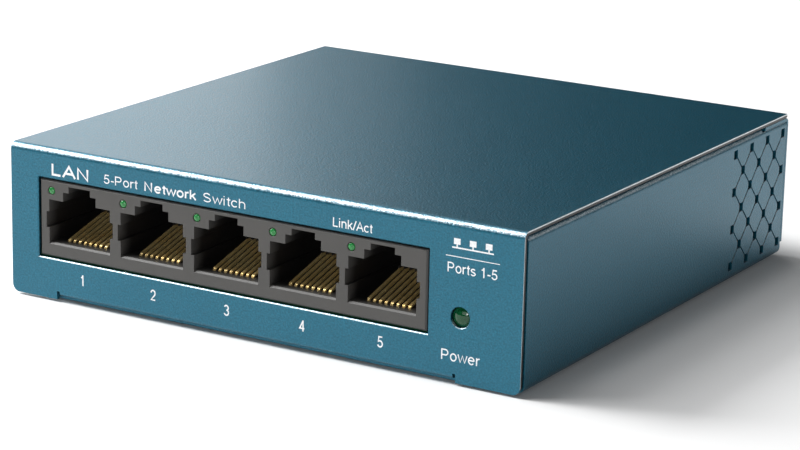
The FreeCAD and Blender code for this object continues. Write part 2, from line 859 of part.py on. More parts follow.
def socket_spring():
    """The leaf that a plug's sleeve presses down."""
    slope = math.radians(leaf_slope)
    lift = leaf_bend_r
    peak = (leaf_y + leaf_arm * math.cos(slope), leaf_z + lift + leaf_arm * math.sin(slope))
    path = [(peak[0] + leaf_tip, peak[1] - leaf_tip_drop), peak, (leaf_y, leaf_z + lift)]
    arm = fold_yz(path, [leaf_peak_r], socket_x - leaf_width / 2, socket_x + leaf_width / 2, leaf_thick)
    hub = rod(leaf_bend_r, V(socket_x - leaf_width / 2, leaf_y, leaf_z), V(1, 0, 0), leaf_width)
    return arm.fuse(hub).removeSplitter()


# ---- parts on the board ----

def switch_chip():
    half = chip_size / 2
    chip = box(chip_x - half, chip_x + half, chip_y - half, chip_y + half, board_top, board_top + chip_thick)
    top = [e for e in chip.Edges if all(v.Z > board_top + chip_thick - 0.01 for v in e.Vertexes)]
    return chip.makeChamfer(0.15, top)


def thermal_pad():
    half = chip_size / 2 - 0.5
    low = board_top + chip_thick
    return box(chip_x - half, chip_x + half, chip_y - half, chip_y + half, low, low + pad_thick)


def heat_sink():
    half = sink_size / 2
    low = board_top + chip_thick + pad_thick
    sink = box(chip_x - half, chip_x + half, chip_y - half, chip_y + half, low, low + sink_height)
    pitch = sink_size / sink_fins
    slots = []
    for i in range(sink_fins - 1):
        x = chip_x - half + pitch * (i + 1)
        slots.append(box(x - sink_slot / 2, x + sink_slot / 2, chip_y - half - 1, chip_y + half + 1,
                         low + sink_base, low + sink_height + 1))
    return sink.cut(Part.makeCompound(slots))


def lan_transformers():
    y = transformer_y
    half = transformer_width / 2
    blocks = []
    for centre in port_centres():
        block = box(centre - half, centre + half, y, y + transformer_depth, board_top,
                    board_top + transformer_height)
        top = [e for e in block.Edges
               if all(v.Z > board_top + transformer_height - 0.01 for v in e.Vertexes)]
        blocks.append(block.makeChamfer(0.3, top))
    return Part.makeCompound(blocks)


def crystal():
    """An oval metal can."""
    y = chip_y - crystal_ahead
    reach = (crystal_length - crystal_width) / 2
    can = box(crystal_x - reach, crystal_x + reach, y - crystal_width / 2, y + crystal_width / 2,
              board_top, board_top + crystal_height)
    for end in (-1, 1):
        can = can.fuse(rod(crystal_width / 2, V(crystal_x + end * reach, y, board_top), V(0, 0, 1),
                           crystal_height))
    return can.removeSplitter()


def filter_capacitors():
    """Three upright cans, each with a pressed groove near its foot."""
    cans = []
    back = board_rear - can_rear_inset
    for x, y in ((can_x, back), (can_x, back - can_spacing), (can_x - can_front_spacing, back)):
        can = rod(can_r, V(x, y, board_top), V(0, 0, 1), can_height)
        top = [e for e in can.Edges if e.isClosed() and e.Vertexes[0].Z > board_top + can_height / 2]
        can = can.makeFillet(can_groove_r, top)
        ring = Part.makeTorus(can_r + can_groove_r / 2, can_groove_r, V(x, y, board_top + can_groove_rise),
                              V(0, 0, 1))
        cans.append(can.cut(ring))
    return Part.makeCompound(cans)


def power_inductor():
    y = chip_y + inductor_behind
    half = inductor_width / 2
    block = box(inductor_x - half, inductor_x + half, y - half, y + half, board_top,
                board_top + inductor_height)
    upright = [e for e in block.Edges if abs(e.Vertexes[0].Z - e.Vertexes[1].Z) > 1]
    return block.makeFillet(inductor_width / 6, upright)


def small_chip(x, y, width, depth, height):
    return box(x - width / 2, x + width / 2, y - depth / 2, y + depth / 2, board_top, board_top + height)


def regulator_chip():
    return small_chip(22.0, chip_y + 2.0, 6.2, 5.0, 1.5)


def memory_chip():
    return small_chip(-26.0, chip_y + 4.0, 5.0, 6.0, 1.5)


def small_chip_parts():
    """Rows of small resistors and capacitors."""
    parts = []
    row_y = transformer_rear + 2.0
    for centre in port_centres():
        parts += [small_chip(centre + dx, row_y, 0.8, 1.6, 0.5) for dx in (-3.6, -1.2, 1.2, 3.6)]
    for i in range(4):
        parts.append(small_chip(chip_x - 8 + 4 * i, chip_y + sink_size / 2 + 2, 1.6, 0.8, 0.6))
    return Part.makeCompound(parts)


def write(name, shape):
    if not shape.isValid():
        print("not valid:", name)
    print(f"{name}: {len(shape.Solids)} solids, {shape.Volume:.2f} mm3")
    shape.exportStep(f"parts/{name}.step")


def main():
    os.makedirs("parts", exist_ok=True)
    write("top_cover", top_cover())
    write("cover_hooks", cover_hooks())
    write("base_chassis", base_chassis())
    write("rubber_feet", rubber_feet())
    write("cover_screws", cover_screws())
    write("circuit_board", circuit_board())
    write("board_standoffs", board_standoffs())
    write("board_screws", board_screws())
    write("port_block_housing", port_block_housing())
    for number, centre in enumerate(port_centres(), 1):
        write(f"port_{number}_contacts", port_contacts(centre))
        write(f"port_{number}_light_pipe", link_light_pipe(centre))
    write("contact_leads", contact_leads())
    write("link_lamp_chips", link_lamp_chips())
    write("power_lamp", power_lamp())
    write("power_lamp_leads", power_lamp_leads())
    write("power_lamp_holder", power_lamp_holder())
    write("power_socket_housing", socket_housing())
    write("power_socket_terminals", socket_terminals())
    write("power_socket_pin", socket_pin())
    write("power_socket_spring", socket_spring())
    write("switch_chip", switch_chip())
    write("thermal_pad", thermal_pad())
    write("heat_sink", heat_sink())
    write("lan_transformers", lan_transformers())
    write("crystal", crystal())
    write("filter_capacitors", filter_capacitors())
    write("power_inductor", power_inductor())
    write("regulator_chip", regulator_chip())
    write("memory_chip", memory_chip())
    write("small_chip_parts", small_chip_parts())


main()
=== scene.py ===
"""A desktop network switch: finishes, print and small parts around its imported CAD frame."""

import json
import math

import bmesh
import bpy
import numpy as np
from mathutils import Matrix, Vector


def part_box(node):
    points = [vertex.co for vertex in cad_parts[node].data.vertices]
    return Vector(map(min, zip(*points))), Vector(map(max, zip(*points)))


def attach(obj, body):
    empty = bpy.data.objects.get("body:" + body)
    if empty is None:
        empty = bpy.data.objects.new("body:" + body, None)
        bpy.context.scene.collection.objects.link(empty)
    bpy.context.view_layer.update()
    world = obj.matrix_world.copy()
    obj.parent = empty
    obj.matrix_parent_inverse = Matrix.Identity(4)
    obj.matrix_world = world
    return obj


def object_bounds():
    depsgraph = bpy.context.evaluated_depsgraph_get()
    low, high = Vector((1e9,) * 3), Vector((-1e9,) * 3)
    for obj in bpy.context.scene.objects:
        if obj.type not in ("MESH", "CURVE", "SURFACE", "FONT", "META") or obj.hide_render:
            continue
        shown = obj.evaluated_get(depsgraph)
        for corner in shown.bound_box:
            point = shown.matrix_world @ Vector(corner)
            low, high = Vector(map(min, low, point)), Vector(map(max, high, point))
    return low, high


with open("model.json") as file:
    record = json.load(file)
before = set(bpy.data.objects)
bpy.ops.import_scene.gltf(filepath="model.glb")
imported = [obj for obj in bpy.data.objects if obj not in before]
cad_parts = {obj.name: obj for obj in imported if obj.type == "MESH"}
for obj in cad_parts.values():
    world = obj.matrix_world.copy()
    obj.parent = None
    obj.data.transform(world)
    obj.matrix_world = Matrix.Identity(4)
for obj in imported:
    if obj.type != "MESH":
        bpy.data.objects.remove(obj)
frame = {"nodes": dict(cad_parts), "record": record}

cad_box = [list(corner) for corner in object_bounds()]

MM = 0.001
nodes = frame["nodes"]
front_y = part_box("top_cover")[0].y
side_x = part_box("top_cover")[1].x
top_z = cad_box[1][2]
port_count = 5
wire_count = 8
wire_pitch = 1.016 * MM


# ---- camera, lights and floor ----

def make_camera():
    """Looks down on the front right corner, as a person at a desk does."""
    azimuth, elevation, roll = math.radians(30.81), math.radians(15.37), math.radians(1.27)
    place = Vector((230.91, -390.63, 132.99)) * MM
    ahead = Vector((-math.sin(azimuth) * math.cos(elevation), math.cos(azimuth) * math.cos(elevation),
                    -math.sin(elevation)))
    right = Vector((math.cos(azimuth), math.sin(azimuth), 0))
    up = right.cross(ahead)
    turn = Matrix((right, up, -ahead)).transposed() @ Matrix.Rotation(roll, 3, "Z")
    data = bpy.data.cameras.new("camera")
    data.sensor_width = 36
    data.lens = 127.85
    data.clip_start = 0.01
    camera = bpy.data.objects.new("camera", data)
    camera.matrix_world = Matrix.Translation(place) @ turn.to_4x4()
    bpy.context.scene.collection.objects.link(camera)
    bpy.context.scene.camera = camera


def softbox(name, place, aim, size, power):
    """A rectangle of light, in metres and watts, that the camera itself doesn't see."""
    data = bpy.data.lights.new(name, "AREA")
    data.shape = "RECTANGLE"
    data.size, data.size_y = size
    data.energy = power
    lamp = bpy.data.objects.new(name, data)
    lamp.location = place
    lamp.rotation_euler = (Vector(aim) - Vector(place)).to_track_quat("-Z", "Y").to_euler()
    lamp.visible_camera = False
    bpy.context.scene.collection.objects.link(lamp)


def make_studio():
    """A white floor, a nearly dark room, and lights that each shape one face or fold of the case."""
    room_strength, floor_size = 0.01, 12
    world = bpy.data.worlds.new("studio")
    world.use_nodes = True
    background = world.node_tree.nodes["Background"]
    background.inputs["Color"].default_value = (0.95, 0.97, 1.0, 1)
    background.inputs["Strength"].default_value = room_strength
    bpy.context.scene.world = world
    bpy.context.scene.view_settings.view_transform = "Standard"
    softbox("key_left", (-1.0, -0.15, 0.72), (0, 0, 0), (0.6, 0.6), 19.0)
    softbox("fold_light", (-0.62, -0.34, 1.0), (0, 0, 0), (0.45, 0.45), 6.0)
    softbox("window_far", (-0.62, 0.50, 0.20), (-0.02, 0, 0.02), (0.45, 0.35), 0.68)
    softbox("window_near", (-0.50, 0.42, 0.17), (-0.02, 0, 0.02), (0.45, 0.30), 0.12)
    softbox("window_high", (-0.50, 0.42, 0.45), (0, 0, 0.02), (0.4, 0.3), 0.45)
    softbox("overhead", (-0.22, -0.15, 1.2), (0, 0, 0), (0.4, 0.4), 3.0)
    softbox("front_fill", (0.15, -1.3, 0.45), (0, 0, 0.01), (0.9, 0.5), 2.4)
    softbox("port_light", (0.30, -0.62, 0.16), (0, 0, 0.012), (0.14, 0.10), 0.75)
    softbox("back_right", (0.7, 0.9, 0.5), (0, 0, 0.01), (0.5, 0.5), 0.9)
    bpy.ops.mesh.primitive_plane_add(size=floor_size, location=(0, 0, 0))
    floor = bpy.context.object
    floor.name = "floor"
    floor.data.materials.append(plain("floor_white", (0.93, 0.93, 0.93), 0.7))


# ---- materials ----

class Finish:
    """A procedural material: its shader's own sockets hold what is even, nodes add what varies."""

    def __init__(self, name, **sockets):
        self.material = bpy.data.materials.new(name)
        self.material.use_nodes = True
        self.tree = self.material.node_tree
        self.shader = self.tree.nodes["Principled BSDF"]
        for socket, value in sockets.items():
            self.set(self.shader, socket.replace("_", " "), value)
        self.coord = self.tree.nodes.new("ShaderNodeTexCoord").outputs["Object"]

    def set(self, node, socket, value):
        """Links a socket to an output, or gives it a constant; a colour may leave out its alpha."""
        target = node.inputs[socket]
        if isinstance(value, bpy.types.NodeSocket):
            self.tree.links.new(value, target)
            return
        takes_alpha = hasattr(target.default_value, "__len__") and len(target.default_value) == 4
        target.default_value = (*value, 1) if takes_alpha and len(value) == 3 else value

    def node(self, kind, output=0, props=None, **sockets):
        """A new node's output, by name or number; a socket is given by name, or as i and its number."""
        made = self.tree.nodes.new("ShaderNode" + kind)
        for key, value in (props or {}).items():
            setattr(made, key, value)
        for socket, value in sockets.items():
            numbered = socket[0] == "i" and socket[1:].isdigit()
            self.set(made, int(socket[1:]) if numbered else socket.replace("_", " "), value)
        return made.outputs[output]

    def noise(self, size, detail=2.0, rough=0.5, vector=None):
        """Smooth noise whose lumps are about size metres across."""
        return self.node("TexNoise", Vector=vector or self.coord, Scale=1 / size, Detail=detail,
                         Roughness=rough)

    def spread(self, value, low, high, out_low, out_high):
        """Value's range from low to high, drawn out to out_low to out_high and held at its ends."""
        return self.node("MapRange", i0=value, i1=low, i2=high, i3=out_low, i4=out_high)

    def mix(self, factor, a, b):
        """Colour a where factor is 0, and colour b where it is 1."""
        a, b = ((*colour, 1) if isinstance(colour, tuple) else colour for colour in (a, b))
        return self.node("Mix", 2, {"data_type": "RGBA"}, i0=factor, i6=a, i7=b)

    def product(self, a, b):
        return self.node("Math", props={"operation": "MULTIPLY"}, i0=a, i1=b)

    def magnitude(self, value):
        return self.node("Math", props={"operation": "ABSOLUTE"}, i0=value)

    def part(self, axis, vector=None):
        """One of x, y and z (0, 1 and 2) of a vector, by default of the point on the object."""
        return self.node("SeparateXYZ", axis, Vector=vector or self.coord)

    def bump(self, height, distance, strength=1.0, normal=None):
        """A normal for a surface raised by height times distance, in metres, from the normal given."""
        made = self.node("Bump", Strength=strength, Distance=distance, Height=height)
        if normal is not None:
            self.set(made.node, "Normal", normal)
        return made

    def to(self, socket, value):
        self.set(self.shader, socket, value)


def plain(name, colour, roughness):
    return Finish(name, Base_Color=colour, Roughness=roughness).material


def case_paint(name, cut_edges=False):
    """Satin powder coat: leather grain, faint flakes, and a painted highlight, pale and broken up by
    the grain, on folds and edges that face upwards.

    With cut_edges, the sheet's cut sides get painted shade, nearly black, with a painted highlight as a
    pale line along their outer corners, top and front.
    """
    f = Finish(name, Metallic=0.85, Coat_Weight=0.5, Coat_Roughness=0.25)
    grain = f.noise(0.30 * MM, 2.0, 0.45)
    pores = f.noise(0.16 * MM, 2.0, 0.5)
    flakes = f.node("TexVoronoi", "Color", Vector=f.coord, Scale=1 / (0.16 * MM))
    flake = f.spread(f.node("SeparateColor", Color=flakes), 0.97, 1.0, 0.0, 0.05)
    shade = f.spread(f.noise(14 * MM), 0.35, 0.65, 0.0, 1.0)
    base = f.mix(shade, (0.0155, 0.156, 0.238), (0.0175, 0.168, 0.254))
    mottled = f.mix(f.spread(grain, 0.35, 0.65, 0.0, 1.0), (0.0105, 0.112, 0.172), base)
    soft = f.node("Bevel", props={"samples": 4}, Radius=0.10 * MM)
    upturned = f.part(2, soft)
    beyond_level, below_upright = (f.spread(upturned, 0.30, 0.55, 0.0, 1.0),
                                   f.spread(upturned, 0.78, 0.93, 1.0, 0.0))
    # Painted highlight: folds and edges whose normal faces upwards get a pale colour, broken up by the
    # grain, standing in for the light they catch.
    painted_fold_highlight = f.product(f.product(beyond_level, below_upright), f.spread(grain, 0.38, 0.56, 0.25, 0.8))
    painted = f.mix(painted_fold_highlight, f.mix(flake, mottled, (0.45, 0.66, 0.76)), (0.62, 0.70, 0.74))
    if cut_edges:
        sideways = f.magnitude(f.part(0, f.node("NewGeometry", "True Normal")))
        face = f.spread(sideways, 0.8, 0.95, 0.0, 1.0)
        outermost = f.spread(f.magnitude(f.part(0)), side_x - 0.06 * MM, side_x - 0.03 * MM, 0.0, 1.0)
        below = f.spread(f.part(2), top_z - 0.26 * MM, top_z - 0.20 * MM, 1.0, 0.0)
        behind = f.spread(f.part(1), front_y + 0.12 * MM, front_y + 0.18 * MM, 0.0, 1.0)
        # Painted shade and painted highlight: the cut side is nearly black, for the shade in the gap
        # there, except for a pale painted highlight along its top and front corners.
        cut_edge_shade_and_highlight = f.mix(f.product(below, behind), (0.78, 0.84, 0.86), (0.006, 0.007, 0.008))
        painted = f.mix(f.product(face, outermost), painted, cut_edge_shade_and_highlight)
    f.to("Base Color", painted)
    f.to("Roughness", f.spread(grain, 0.3, 0.7, 0.38, 0.48))
    first = f.bump(grain, 0.09 * MM, 1.0, soft)
    f.to("Normal", f.bump(pores, 0.02 * MM, 0.6, first))
    return f.material


def port_plastic():
    """Warm dark grey moulded plastic with a spark-eroded face, and painted shade that makes it darker
    inside the ports.
    """
    f = Finish("port_plastic", Specular_IOR_Level=0.4)
    skin = f.noise(0.12 * MM, 3.0)
    face = f.mix(f.noise(4 * MM), (0.066, 0.064, 0.061), (0.078, 0.075, 0.071))
    # Painted shade: the plastic darkens to nearly black from just behind the face to 3 mm deep, for the
    # shade in the ports.
    inside = f.spread(f.part(1), front_y + 0.35 * MM, front_y + 3.0 * MM, 0.0, 1.0)
    f.to("Base Color", f.mix(inside, face, (0.010, 0.009, 0.009)))
    f.to("Roughness", f.spread(skin, 0.3, 0.7, 0.36, 0.50))
    soft = f.node("Bevel", props={"samples": 4}, Radius=0.06 * MM)
    f.to("Normal", f.bump(skin, 0.01 * MM, 0.6, soft))
    return f.material


def gold_plating():
    """Bright gold over nickel: the worn parts are paler."""
    f = Finish("gold_plating", Metallic=0.62)
    rub = f.noise(3 * MM, 2.0)
    f.to("Base Color", f.mix(f.spread(rub, 0.35, 0.7, 0, 1), (1.00, 0.76, 0.34), (0.96, 0.66, 0.24)))
    f.to("Roughness", f.spread(rub, 0.3, 0.7, 0.32, 0.40))
    return f.material


def lens(name, colour, glow, glow_strength):
    """Tinted clear plastic that glows a little from inside."""
    f = Finish(name, Base_Color=colour, Roughness=0.10, IOR=1.5,
               Emission_Color=glow, Emission_Strength=glow_strength)
    haze = f.noise(0.4 * MM)
    f.to("Transmission Weight", f.spread(haze, 0.3, 0.7, 0.25, 0.45))
    return f.material


def metal(name, colour, low, high, size, stretch=(1, 1, 1)):
    """Brushed or plated metal: fine streaks in its roughness and height."""
    f = Finish(name, Metallic=1.0)
    along = f.node("Mapping", Vector=f.coord, Scale=stretch)
    streak = f.noise(size, 3.0, 0.6, along)
    f.to("Base Color", f.mix(streak, tuple(0.88 * c for c in colour), colour))
    f.to("Roughness", f.spread(streak, 0.3, 0.7, low, high))
    f.to("Normal", f.bump(streak, 0.004 * MM, 0.5))
    return f.material


def moulded(name, colour, low, high, size=0.15 * MM):
    """Plastic, rubber or ceramic with a fine skin, whose roughness runs from low to high."""
    f = Finish(name)
    skin = f.noise(size, 3.0)
    f.to("Base Color", f.mix(f.noise(20 * size), tuple(0.85 * c for c in colour), colour))
    f.to("Roughness", f.spread(skin, 0.3, 0.7, low, high))
    f.to("Normal", f.bump(skin, 0.01 * MM, 0.6))
    return f.material


def solder_mask():
    """Green lacquer over copper, whose right-angled tracks show as lighter, raised lines."""
    f = Finish("solder_mask", Coat_Weight=0.5, Coat_Roughness=0.15)
    weave = f.noise(0.3 * MM)
    tracks = f.node("TexBrick", "Fac", {"offset": 0.37, "squash": 1.0}, Vector=f.coord,
                    Scale=1 / (6 * MM), Mortar_Size=0.035, Mortar_Smooth=0.2, Brick_Width=1.7,
                    Row_Height=0.21)
    f.to("Base Color", f.mix(tracks, (0.010, 0.105, 0.045), (0.022, 0.175, 0.075)))
    f.to("Roughness", f.spread(weave, 0.3, 0.7, 0.26, 0.36))
    f.to("Normal", f.bump(tracks, 0.03 * MM, 0.5))
    return f.material


def dress_nodes():
    """Every CAD node takes the finish of its material slot."""
    finishes = {
        "case_paint": case_paint("case_paint"),
        "port_plastic": port_plastic(),
        "contact_gold": gold_plating(),
        "link_lens": lens("link_lens", (0.03, 0.26, 0.07), (0.05, 0.7, 0.12), 0.05),
        "power_lens": lens("power_lens", (0.004, 0.075, 0.025), (0.02, 0.5, 0.1), 0.012),
        "black_plastic": moulded("black_plastic", (0.022, 0.022, 0.024), 0.4, 0.55),
        "board_laminate": solder_mask(),
        "chip_epoxy": moulded("chip_epoxy", (0.028, 0.028, 0.030), 0.5, 0.65),
        "chip_ceramic": moulded("chip_ceramic", (0.42, 0.33, 0.22), 0.45, 0.6),
        "ferrite": moulded("ferrite", (0.075, 0.075, 0.080), 0.55, 0.75),
        "thermal_silicone": moulded("thermal_silicone", (0.42, 0.44, 0.48), 0.7, 0.85),
        "lamp_chip": moulded("lamp_chip", (0.80, 0.74, 0.50), 0.3, 0.4),
        "sink_aluminium": metal("sink_aluminium", (0.78, 0.79, 0.81), 0.26, 0.42, 0.1 * MM,
                                (1, 0.05, 1)),
        "zinc_steel": metal("zinc_steel", (0.66, 0.67, 0.69), 0.25, 0.4, 0.6 * MM),
        "screw_steel": metal("screw_steel", (0.58, 0.58, 0.60), 0.22, 0.36, 0.3 * MM),
        "tinned_wire": metal("tinned_wire", (0.78, 0.78, 0.77), 0.2, 0.34, 0.3 * MM),
        "nickel_plate": metal("nickel_plate", (0.74, 0.72, 0.67), 0.12, 0.22, 0.4 * MM),
        "standoff_brass": metal("standoff_brass", (0.76, 0.58, 0.28), 0.22, 0.36, 0.3 * MM),
        "foot_rubber": moulded("foot_rubber", (0.030, 0.030, 0.032), 0.75, 0.9, 0.25 * MM),
    }
    for part in frame["record"]["subparts"]:
        mesh = nodes[part["node"]].data
        mesh.materials.clear()
        mesh.materials.append(finishes[part["material_slot"]])
    nodes["top_cover"].data.materials[0] = case_paint("cover_paint", cut_edges=True)
    return finishes


# ---- print on the case ----

def ink():
    """White screen-print ink, a little uneven where it lies over the grain."""
    f = Finish("white_ink", Roughness=0.5)
    cover = f.spread(f.noise(0.3 * MM), 0.35, 0.65, 0, 1)
    f.to("Base Color", f.mix(cover, (0.78, 0.80, 0.82), (0.92, 0.93, 0.94)))
    return f.material


def bow(x, z, rx, rz, start, end, steps=14):
    """Points (x + rx cos a, z + rz sin a) on an ellipse, for a from start to end in degrees."""
    angle = np.radians(np.linspace(start, end, steps))
    return np.column_stack((x + rx * np.cos(angle), z + rz * np.sin(angle)))


def path(*pieces):
    """Points and bows one after the other, as one line."""
    return np.vstack([np.atleast_2d(np.array(piece, float)) for piece in pieces])


def letter_strokes():
    """Plain letters, one unit high as capitals: how far each moves the pen, then its strokes."""
    bowl = bow(0.345, 0.45, 0.245, 0.235, 180, 0)
    return {
        "1": (0.77, [path((0.42, 0), (0.42, 1)), path((0.17, 0.74), (0.31, 0.80), (0.41, 0.96))]),
        "2": (0.77, [path(bow(0.36, 0.68, 0.27, 0.27, 172, -38), (0.11, 0.06), (0.65, 0.06))]),
        "3": (0.77, [path(bow(0.35, 0.72, 0.24, 0.22, 160, -85)),
                     path(bow(0.35, 0.29, 0.28, 0.24, 88, -162))]),
        "4": (0.77, [path((0.51, 0), (0.51, 1)), path((0.51, 0.97), (0.07, 0.27), (0.68, 0.27))]),
        "5": (0.77, [path((0.60, 0.94), (0.20, 0.94), (0.13, 0.50),
                          bow(0.34, 0.32, 0.27, 0.27, 120, -160))]),
        "P": (0.90, [path((0.10, 0), (0.10, 1)),
                     path((0.10, 0.94), (0.45, 0.94), bow(0.45, 0.69, 0.25, 0.25, 80, -80),
                          (0.10, 0.44))]),
        "L": (0.75, [path((0.10, 1), (0.10, 0.06), (0.62, 0.06))]),
        "D": (1.00, [path((0.10, 0), (0.10, 1)),
                     path((0.10, 0.94), (0.38, 0.94), bow(0.38, 0.50, 0.38, 0.44, 80, -80),
                          (0.10, 0.06))]),
        "C": (1.00, [path(bow(0.47, 0.50, 0.38, 0.44, 48, 312, 24))]),
        "A": (0.92, [path((0.04, 0), (0.44, 0.97), (0.84, 0)), path((0.18, 0.34), (0.70, 0.34))]),
        "N": (1.00, [path((0.11, 0), (0.11, 0.97), (0.73, 0.03), (0.73, 1))]),
        "S": (0.92, [path(bow(0.42, 0.73, 0.28, 0.21, 22, 240),
                          bow(0.43, 0.27, 0.31, 0.22, 68, -158))]),
        "o": (0.77, [path(bow(0.35, 0.36, 0.27, 0.32, 0, 360, 24))]),
        "e": (0.77, [path((0.09, 0.38), (0.60, 0.38)), path(bow(0.35, 0.36, 0.27, 0.32, 2, 318, 20))]),
        "c": (0.70, [path(bow(0.35, 0.36, 0.27, 0.32, 42, 318, 20))]),
        "s": (0.70, [path(bow(0.33, 0.52, 0.20, 0.15, 22, 240),
                          bow(0.33, 0.19, 0.23, 0.15, 68, -158))]),
        "n": (0.77, [path((0.10, 0), (0.10, 0.72)), path(bowl, (0.59, 0))]),
        "h": (0.77, [path((0.10, 0), (0.10, 1)), path(bowl, (0.59, 0))]),
        "r": (0.47, [path((0.10, 0), (0.10, 0.72)), path(bow(0.36, 0.42, 0.26, 0.25, 180, 82))]),
        "i": (0.31, [path((0.10, 0), (0.10, 0.72)), path((0.10, 0.88), (0.10, 1.0))]),
        "k": (0.70, [path((0.10, 0), (0.10, 1)), path((0.56, 0.72), (0.13, 0.28)),
                     path((0.27, 0.42), (0.60, 0))]),
        "t": (0.40, [path((0.19, 0.92), (0.19, 0.16), bow(0.29, 0.16, 0.10, 0.11, 190, 275)),
                     path((0.03, 0.68), (0.36, 0.68))]),
        "w": (1.00, [path((0.04, 0.72), (0.26, 0.03), (0.48, 0.66), (0.70, 0.03), (0.92, 0.72))]),
        "/": (0.39, [path((0.0, -0.02), (0.36, 1.02))]),
        "-": (0.46, [path((0.05, 0.34), (0.37, 0.34))]),
        " ": (0.39, []),
    }


LETTERS = letter_strokes()
ink_thickness = 0.02 * MM
stroke_step = 0.06


def ribbon(line, width):
    """A flat bar of depth 1, drawn along a line of (x, z) points.

    Its sides are p + m width/2 and p - m width/2 at each point p. There m = (n1 + n2) / (1 + n1.n2),
    from the normals n1 and n2 of the two runs that meet, with the divisor held at shortest or more.
    """
    tiny, shortest = 1e-9, 0.6
    ahead = np.diff(line, axis=0)
    ahead /= np.maximum(np.linalg.norm(ahead, axis=1, keepdims=True), tiny)
    side = np.column_stack((-ahead[:, 1], ahead[:, 0]))
    before, after = np.vstack((side[:1], side)), np.vstack((side, side[-1:]))
    mitre = before + after
    mitre /= np.maximum((mitre * before).sum(1, keepdims=True), shortest)
    left, right = line + mitre * width / 2, line - mitre * width / 2
    count = len(line)
    ring = np.stack((left, right, right, left), axis=1)
    depth = np.broadcast_to(np.array([0, 0, 1, 1]), (count, 4))
    points = np.stack((ring[..., 0], depth, ring[..., 1]), axis=-1).reshape(-1, 3)
    start = 4 * np.arange(count - 1)[:, None]
    sides = [np.column_stack((start + k, start + (k + 1) % 4, start + 4 + (k + 1) % 4, start + 4 + k))
             for k in range(4)]
    last = 4 * (count - 1)
    ends = np.array([[3, 2, 1, 0], [last, last + 1, last + 2, last + 3]])
    return points, np.vstack(sides + [ends])


def join(pieces):
    """One list of points and faces from many."""
    points, faces, total = [], [], 0
    for some_points, some_faces in pieces:
        points.append(some_points)
        faces.append(some_faces + total)
        total += len(some_points)
    return np.vstack(points), np.vstack(faces)


def add_piece(name, points, faces, material, body):
    """A new piece from numpy points, in metres in the object's frame, and quads."""
    mesh = bpy.data.meshes.new(name)
    mesh.from_pydata(points.tolist(), [], faces.tolist())
    mesh.validate()
    shape = bmesh.new()
    shape.from_mesh(mesh)
    bmesh.ops.recalc_face_normals(shape, faces=shape.faces)
    shape.to_mesh(mesh)
    shape.free()
    mesh.shade_flat()
    return finish_piece(name, mesh, material, body)


def finish_piece(name, mesh, material, body):
    """The mesh as an object at the origin that rides on its body."""
    mesh.materials.append(material)
    piece = bpy.data.objects.new(name, mesh)
    bpy.context.scene.collection.objects.link(piece)
    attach(piece, body)
    return piece


def on_front(points, order):
    """(x, depth, z) points laid on the front: depth 0 is the skin of the ink, and depth 1 its back.

    Each stroke is a hair thicker than the one before it, so crossing strokes share no face. The count
    starts again after the eighth.
    """
    strokes_apart = 8
    thickness = ink_thickness * (1 + stroke_step * (order % strokes_apart))
    laid = points.copy()
    laid[:, 1] = front_y - thickness * (1 - points[:, 1])
    return laid


def front_lines(name, bars_to_print, material):
    """Strokes on the front, from (line, width) pairs."""
    strokes = []
    for order, (line, width) in enumerate(bars_to_print):
        points, faces = ribbon(line, width)
        strokes.append((on_front(points, order), faces))
    points, faces = join(strokes)
    return add_piece(name, points, faces, material, "case")


def front_print(name, words, left, right, base, cap, material, weight):
    """Lettering between two x places, on height base.

    Capitals are cap high, and a stroke is weight times as wide.
    """
    pen, strokes, tiny = 0.0, [], 1e-6
    for letter in words:
        advance, lines = LETTERS[letter]
        strokes += [line + (pen, 0) for line in lines]
        pen += advance
    every = np.vstack(strokes)
    low, high = every[:, 0].min(), every[:, 0].max()
    width = weight * cap
    wide = (right - left - width) / max(high - low, tiny)
    placed = [np.column_stack(((line[:, 0] - low) * wide + left + width / 2, line[:, 1] * cap + base))
              for line in strokes]
    return front_lines(name, [(line, width) for line in placed], material)


def port_centres():
    """The x place of the middle of each port."""
    return [sum((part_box(f"port_{n}_contacts")[k].x for k in (0, 1))) / 2
            for n in range(1, port_count + 1)]


def make_print():
    """All the white print. Numbers stand a little right of their ports, less so from left to right."""
    white = ink()
    digit_widths = (0.55, 1.0, 1.0, 1.05, 1.0)
    first_offset, offset_step = 0.55, 0.15
    digit_base, digit_height, digit_weight = 3.5 * MM, 1.75 * MM, 0.13
    for number, x in enumerate(port_centres(), 1):
        half = digit_widths[number - 1] / 2 * MM
        middle = x + (first_offset - offset_step * (number - 1)) * MM
        front_print(f"print_number_{number}", str(number), middle - half, middle + half, digit_base,
                    digit_height, white, digit_weight)
    light, medium, bold, heavy = 0.125, 0.13, 0.185, 0.19
    # name, words, left, right, base and capital's height in mm, and the stroke's share of that height
    labels = (("power", "Power", 33.2, 39.8, 3.7, 1.65, light),
              ("link", "Link/Act", 14.1, 21.1, 20.8, 1.4, 0.135),
              ("lan", "LAN", -38.4, -31.2, 20.75, 1.85, heavy),
              ("headline_start", "5-Port", -28.2, -21.6, 20.95, 1.45, light),
              ("headline_middle", "Network", -20.4, -10.6, 20.95, 1.45, bold),
              ("headline_end", "Switch", -9.3, -1.6, 20.95, 1.45, light),
              ("ports", "Ports 1-5", 33.9, 42.2, 17.2, 1.5, medium))
    for name, words, left, right, base, cap, weight in labels:
        front_print(f"print_{name}", words, left * MM, right * MM, base * MM, cap * MM, white, weight)
    network_mark(white)
    rear_print(white)


